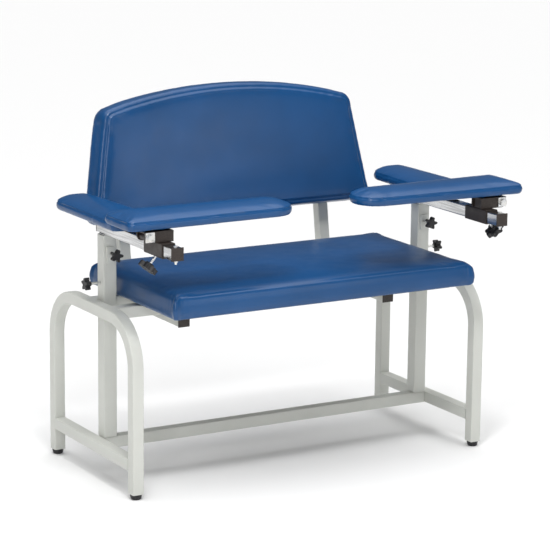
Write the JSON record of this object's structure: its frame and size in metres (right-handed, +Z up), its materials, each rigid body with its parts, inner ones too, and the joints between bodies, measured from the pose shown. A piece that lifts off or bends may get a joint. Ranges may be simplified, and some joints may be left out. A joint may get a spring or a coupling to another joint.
{
  "type": "wide blood-draw chair",
  "caption": "Extra-wide fixed blood-draw chair: bench seat, fixed padded back, square-tube frame, height-adjustable arms with sliding flip-up front pads.",
  "frame": {"origin": "on the floor, at the middle of the whole chair's footprint box", "axes": "+Z up, +Y to the back of the chair, +X to the sitter's left"},
  "size_m": [1.19, 0.6904, 0.987],
  "materials": {
    "frame_paint": "light warm-grey powder coat, semi-gloss",
    "chrome_tube": "bright chrome-plated square tube",
    "bronze_paint": "dark bronze-brown powder coat, satin",
    "black_plastic": "black moulded plastic, fine texture",
    "zinc": "zinc-plated steel fastener",
    "vinyl": "royal-blue upholstery vinyl with fine leather grain, satin",
    "dust_cover": "black woven dust cover over a plywood board"
  },
  "bodies": {
    "frame": {"foot_stretcher": "frame_paint", "front_crossbar": "frame_paint", "rear_crossbar": "frame_paint", "seat_board": "dust_cover", "seat_cushion": "vinyl", "back_cushion": "vinyl", "back_board": "dust_cover", "right_leg_arch": "frame_paint", "right_side_rail": "frame_paint", "right_front_foot": "black_plastic", "right_rear_foot": "black_plastic", "right_post": "frame_paint", "right_back_support": "frame_paint", "right_support_plug": "bronze_paint", "left_leg_arch": "frame_paint", "left_side_rail": "frame_paint", "left_front_foot": "black_plastic", "left_rear_foot": "black_plastic", "left_post": "frame_paint", "left_back_support": "frame_paint", "left_support_plug": "bronze_paint"},
    "right_mast": {"right_arm_rail": "chrome_tube", "right_arm_mast": "chrome_tube", "right_rail_front_plug": "bronze_paint", "right_rail_rear_plug": "bronze_paint", "right_stop_screw": "zinc", "right_rear_arm_board": "dust_cover", "right_rear_arm_pad": "vinyl"},
    "right_carriage": {"right_collar": "bronze_paint", "right_hinge_lug": "bronze_paint"},
    "right_flip_arm": {"right_flip_bracket": "bronze_paint", "right_hinge_bolt": "zinc", "right_flip_board": "dust_cover", "right_flip_pad": "vinyl"},
    "right_height_clamp": {"right_height_knob_screw": "zinc", "right_height_knob": "black_plastic"},
    "right_side_clamp": {"right_side_knob_screw": "zinc", "right_side_knob": "black_plastic"},
    "right_slide_clamp": {"right_slide_knob_screw": "zinc", "right_slide_knob": "black_plastic"},
    "left_mast": {"left_arm_rail": "chrome_tube", "left_arm_mast": "chrome_tube", "left_rail_front_plug": "bronze_paint", "left_rail_rear_plug": "bronze_paint", "left_stop_screw": "zinc", "left_rear_arm_board": "dust_cover", "left_rear_arm_pad": "vinyl"},
    "left_carriage": {"left_collar": "bronze_paint", "left_hinge_lug": "bronze_paint"},
    "left_flip_arm": {"left_flip_bracket": "bronze_paint", "left_hinge_bolt": "zinc", "left_flip_board": "dust_cover", "left_flip_pad": "vinyl"},
    "left_height_clamp": {"left_height_knob_screw": "zinc", "left_height_knob": "black_plastic"},
    "left_side_clamp": {"left_side_knob_screw": "zinc", "left_side_knob": "black_plastic"},
    "left_slide_clamp": {"left_slide_knob_screw": "zinc", "left_slide_knob": "black_plastic"}
  },
  "joints": [
    {"name": "right_arm_height", "type": "slide", "parent": "frame", "child": "right_mast", "axis": [0, 0, 1], "range_m": [0, 0.1]},
    {"name": "right_arm_slide", "type": "slide", "parent": "right_mast", "child": "right_carriage", "axis": [0, -1, 0], "range_m": [0, 0.031]},
    {"name": "right_arm_flip", "type": "hinge", "parent": "right_carriage", "child": "right_flip_arm", "pos_m": [-0.528, -0.25692, 0.6986], "axis": [0, -1, 0], "range_deg": [0, 90]},
    {"name": "right_height_knob_turn", "type": "hinge", "parent": "frame", "child": "right_height_clamp", "pos_m": [-0.4848, 0.00308, 0.598], "axis": [0, -1, 0], "continuous": true},
    {"name": "right_side_knob_turn", "type": "hinge", "parent": "frame", "child": "right_side_clamp", "pos_m": [-0.54, 0.04808, 0.519], "axis": [-1, 0, 0], "continuous": true},
    {"name": "right_slide_knob_turn", "type": "hinge", "parent": "right_carriage", "child": "right_slide_clamp", "pos_m": [-0.51822, -0.25742, 0.62517], "axis": [-0.6428, 0, -0.766], "continuous": true},
    {"name": "left_arm_height", "type": "slide", "parent": "frame", "child": "left_mast", "axis": [0, 0, 1], "range_m": [0, 0.1]},
    {"name": "left_arm_slide", "type": "slide", "parent": "left_mast", "child": "left_carriage", "axis": [0, -1, 0], "range_m": [0, 0.031]},
    {"name": "left_arm_flip", "type": "hinge", "parent": "left_carriage", "child": "left_flip_arm", "pos_m": [0.528, -0.25692, 0.6986], "axis": [0, 1, 0], "range_deg": [0, 90]},
    {"name": "left_height_knob_turn", "type": "hinge", "parent": "frame", "child": "left_height_clamp", "pos_m": [0.4848, 0.00308, 0.598], "axis": [0, -1, 0], "continuous": true},
    {"name": "left_side_knob_turn", "type": "hinge", "parent": "frame", "child": "left_side_clamp", "pos_m": [0.54, 0.04808, 0.519], "axis": [1, 0, 0], "continuous": true},
    {"name": "left_slide_knob_turn", "type": "hinge", "parent": "left_carriage", "child": "left_slide_clamp", "pos_m": [0.51822, -0.25742, 0.62517], "axis": [0.6428, 0, -0.766], "continuous": true}
  ]
}
